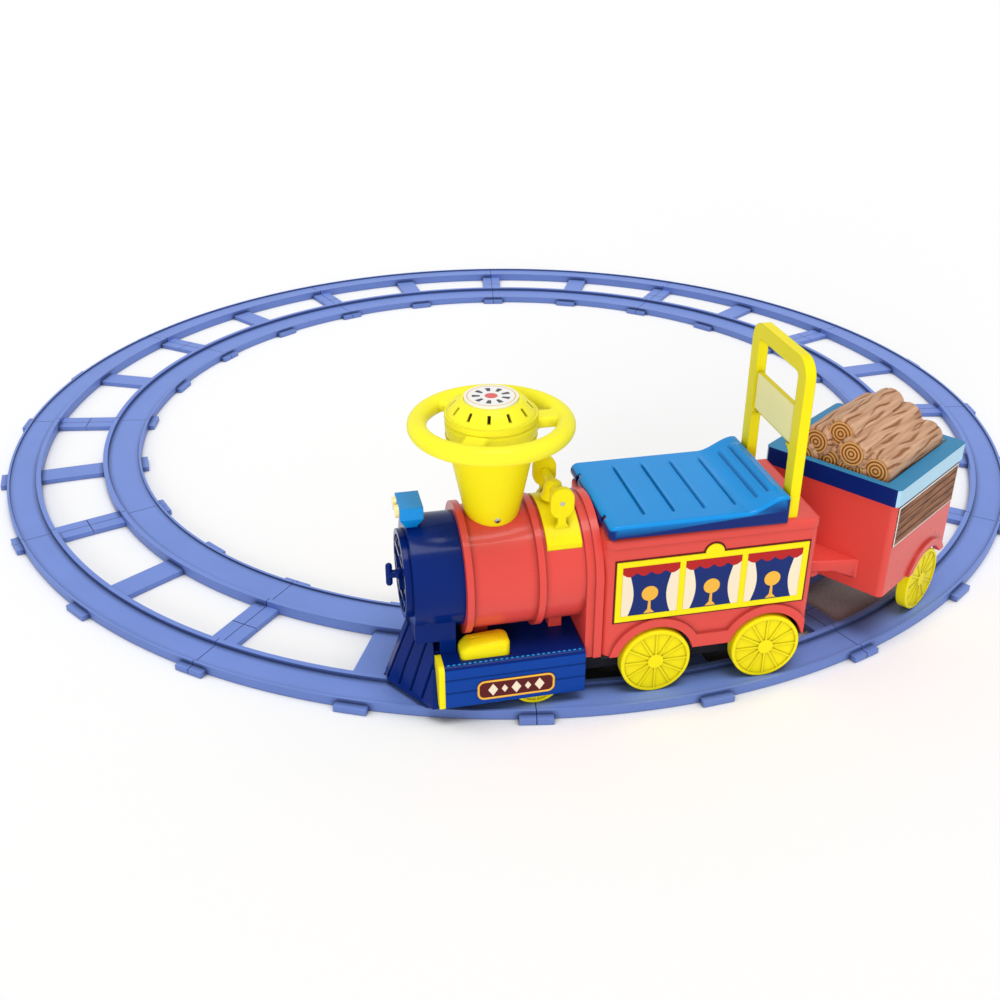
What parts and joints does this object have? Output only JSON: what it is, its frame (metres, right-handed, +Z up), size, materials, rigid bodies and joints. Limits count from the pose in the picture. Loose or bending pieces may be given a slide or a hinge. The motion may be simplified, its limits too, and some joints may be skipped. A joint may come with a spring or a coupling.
{
  "type": "ride-on train",
  "caption": "Ride-on toy train: battery steam-style locomotive with a seat and steering wheel, a log tender on a hitch, and a ring of clip-together track.",
  "frame": {"origin": "On the floor, at the centre of the ring of track.", "axes": "+Z is up from the floor. -Y points from the ring's centre to the locomotive. The locomotive faces -X."},
  "size_m": [1.9206, 1.9206, 0.468],
  "materials": {
    "track_plastic": "satin slate-blue moulding",
    "navy_plastic": "glossy dark blue moulding",
    "blue_plastic": "glossy bright blue moulding",
    "red_plastic": "glossy red moulding",
    "yellow_plastic": "glossy yellow moulding",
    "white_plastic": "glossy white moulding with a printed disc",
    "dark_plastic": "dark grey moulding",
    "brown_plastic": "tan-brown moulding with wood grain",
    "plaque_plastic": "maroon printed plate",
    "lens_plastic": "clear amber lens",
    "steel": "plain zinc-plated steel"
  },
  "bodies": {
    "track": {"track_section_01": "track_plastic", "track_section_02": "track_plastic", "track_section_03": "track_plastic", "track_section_04": "track_plastic", "track_section_05": "track_plastic", "track_section_06": "track_plastic", "track_section_07": "track_plastic", "track_section_08": "track_plastic", "track_section_09": "track_plastic", "track_section_10": "track_plastic", "track_section_11": "track_plastic", "track_section_12": "track_plastic"},
    "locomotive": {"chassis_frame": "dark_plastic", "front_axle": "steel", "middle_axle": "steel", "rear_axle": "steel", "battery": "dark_plastic", "motor": "steel", "motor_mount": "dark_plastic", "smokebox": "navy_plastic", "smokebox_door": "navy_plastic", "headlamp_housing": "blue_plastic", "headlamp_lens": "lens_plastic", "cowcatcher": "navy_plastic", "boiler_shell": "red_plastic", "running_deck": "navy_plastic", "deck_end_caps": "yellow_plastic", "nameplates": "plaque_plastic", "steering_column": "yellow_plastic", "bell_yoke": "yellow_plastic", "bell_pin": "steel", "cab_shell": "red_plastic", "window_frames": "yellow_plastic", "seat_hinge_pin": "steel", "backrest_frame": "yellow_plastic", "hitch_pin": "steel"},
    "steering": {"steering_shaft": "steel", "steering_wheel": "yellow_plastic", "hub_cover": "yellow_plastic"},
    "horn": {"horn_button": "white_plastic"},
    "bell_body": {"bell": "yellow_plastic"},
    "seat": {"seat_lid": "blue_plastic"},
    "pedal_left": {"left_pedal": "yellow_plastic"},
    "pedal_right": {"right_pedal": "yellow_plastic"},
    "pinion": {"drive_pinion": "steel"},
    "tender": {"tender_tub": "red_plastic", "tender_rim": "navy_plastic", "plank_panels": "brown_plastic", "log_load": "brown_plastic", "drawbar": "red_plastic", "tender_axle": "steel"},
    "wheel_front_left": {"front_left_wheel": "yellow_plastic"},
    "wheel_front_right": {"front_right_wheel": "yellow_plastic"},
    "wheel_middle_left": {"middle_left_wheel": "yellow_plastic"},
    "wheel_middle_right": {"middle_right_wheel": "yellow_plastic"},
    "wheel_rear_left": {"rear_left_wheel": "yellow_plastic", "drive_gear": "yellow_plastic"},
    "wheel_rear_right": {"rear_right_wheel": "yellow_plastic"},
    "wheel_tender_left": {"tender_left_wheel": "yellow_plastic"},
    "wheel_tender_right": {"tender_right_wheel": "yellow_plastic"}
  },
  "joints": [
    {"name": "train_travel", "type": "hinge", "parent": "track", "child": "locomotive", "pos_m": [0, 0, 0], "axis": [0, 0, -1], "continuous": true},
    {"name": "front_left_spin", "type": "hinge", "parent": "locomotive", "child": "wheel_front_left", "pos_m": [-0.16, -0.911, 0.0463], "axis": [0, -1, 0], "continuous": true},
    {"name": "front_right_spin", "type": "hinge", "parent": "locomotive", "child": "wheel_front_right", "pos_m": [-0.16, -0.745, 0.0463], "axis": [0, -1, 0], "continuous": true},
    {"name": "middle_left_spin", "type": "hinge", "parent": "locomotive", "child": "wheel_middle_left", "pos_m": [0.0015, -0.916, 0.0598], "axis": [0, -1, 0], "continuous": true},
    {"name": "middle_right_spin", "type": "hinge", "parent": "locomotive", "child": "wheel_middle_right", "pos_m": [0.0015, -0.74, 0.0598], "axis": [0, -1, 0], "continuous": true},
    {"name": "rear_left_spin", "type": "hinge", "parent": "locomotive", "child": "wheel_rear_left", "pos_m": [0.1585, -0.916, 0.0598], "axis": [0, -1, 0], "continuous": true},
    {"name": "rear_right_spin", "type": "hinge", "parent": "locomotive", "child": "wheel_rear_right", "pos_m": [0.1585, -0.74, 0.0598], "axis": [0, -1, 0], "continuous": true},
    {"name": "pinion_spin", "type": "hinge", "parent": "locomotive", "child": "pinion", "pos_m": [0.13225, -0.8955, 0.10527], "axis": [0, -1, 0], "continuous": true},
    {"name": "steering_turn", "type": "hinge", "parent": "locomotive", "child": "steering", "pos_m": [-0.202, -0.828, 0.387], "axis": [0, 0, 1], "range_deg": [-45, 45]},
    {"name": "horn_press", "type": "slide", "parent": "steering", "child": "horn", "axis": [0, 0, -1], "range_m": [0, 0.003], "stiffness_N_per_m": 400, "springref_m": -0.004},
    {"name": "bell_swing", "type": "hinge", "parent": "locomotive", "child": "bell_body", "pos_m": [-0.121, -0.828, 0.29], "axis": [0, -1, 0], "range_deg": [-15, 15]},
    {"name": "seat_open", "type": "hinge", "parent": "locomotive", "child": "seat", "pos_m": [-0.0615, -0.828, 0.262], "axis": [0, -1, 0], "range_deg": [0, 70]},
    {"name": "left_pedal_press", "type": "slide", "parent": "locomotive", "child": "pedal_left", "axis": [0, 0, -1], "range_m": [0, 0.005], "stiffness_N_per_m": 600, "springref_m": -0.004},
    {"name": "right_pedal_press", "type": "slide", "parent": "locomotive", "child": "pedal_right", "axis": [0, 0, -1], "range_m": [0, 0.005], "stiffness_N_per_m": 600, "springref_m": -0.004},
    {"name": "hitch_swing", "type": "hinge", "parent": "locomotive", "child": "tender", "pos_m": [0.254, -0.828, 0.124], "axis": [0, 0, 1], "range_deg": [-2, 2]},
    {"name": "tender_left_spin", "type": "hinge", "parent": "tender", "child": "wheel_tender_left", "pos_m": [0.45102, -0.80602, 0.0598], "axis": [0.5736, -0.8192, 0], "continuous": true},
    {"name": "tender_right_spin", "type": "hinge", "parent": "tender", "child": "wheel_tender_right", "pos_m": [0.34204, -0.65038, 0.0598], "axis": [0.5736, -0.8192, 0], "continuous": true}
  ],
  "couplings": [
    {"joint": "front_left_spin", "follows": "train_travel", "ratio": 26.427},
    {"joint": "front_right_spin", "follows": "train_travel", "ratio": 21.771},
    {"joint": "middle_left_spin", "follows": "train_travel", "ratio": 18.887},
    {"joint": "middle_right_spin", "follows": "train_travel", "ratio": 15.258},
    {"joint": "rear_left_spin", "follows": "train_travel", "ratio": 19.167},
    {"joint": "rear_right_spin", "follows": "train_travel", "ratio": 15.604},
    {"joint": "pinion_spin", "follows": "train_travel", "ratio": -38.335},
    {"joint": "tender_left_spin", "follows": "train_travel", "ratio": 19.044},
    {"joint": "tender_right_spin", "follows": "train_travel", "ratio": 15.151}
  ]
}
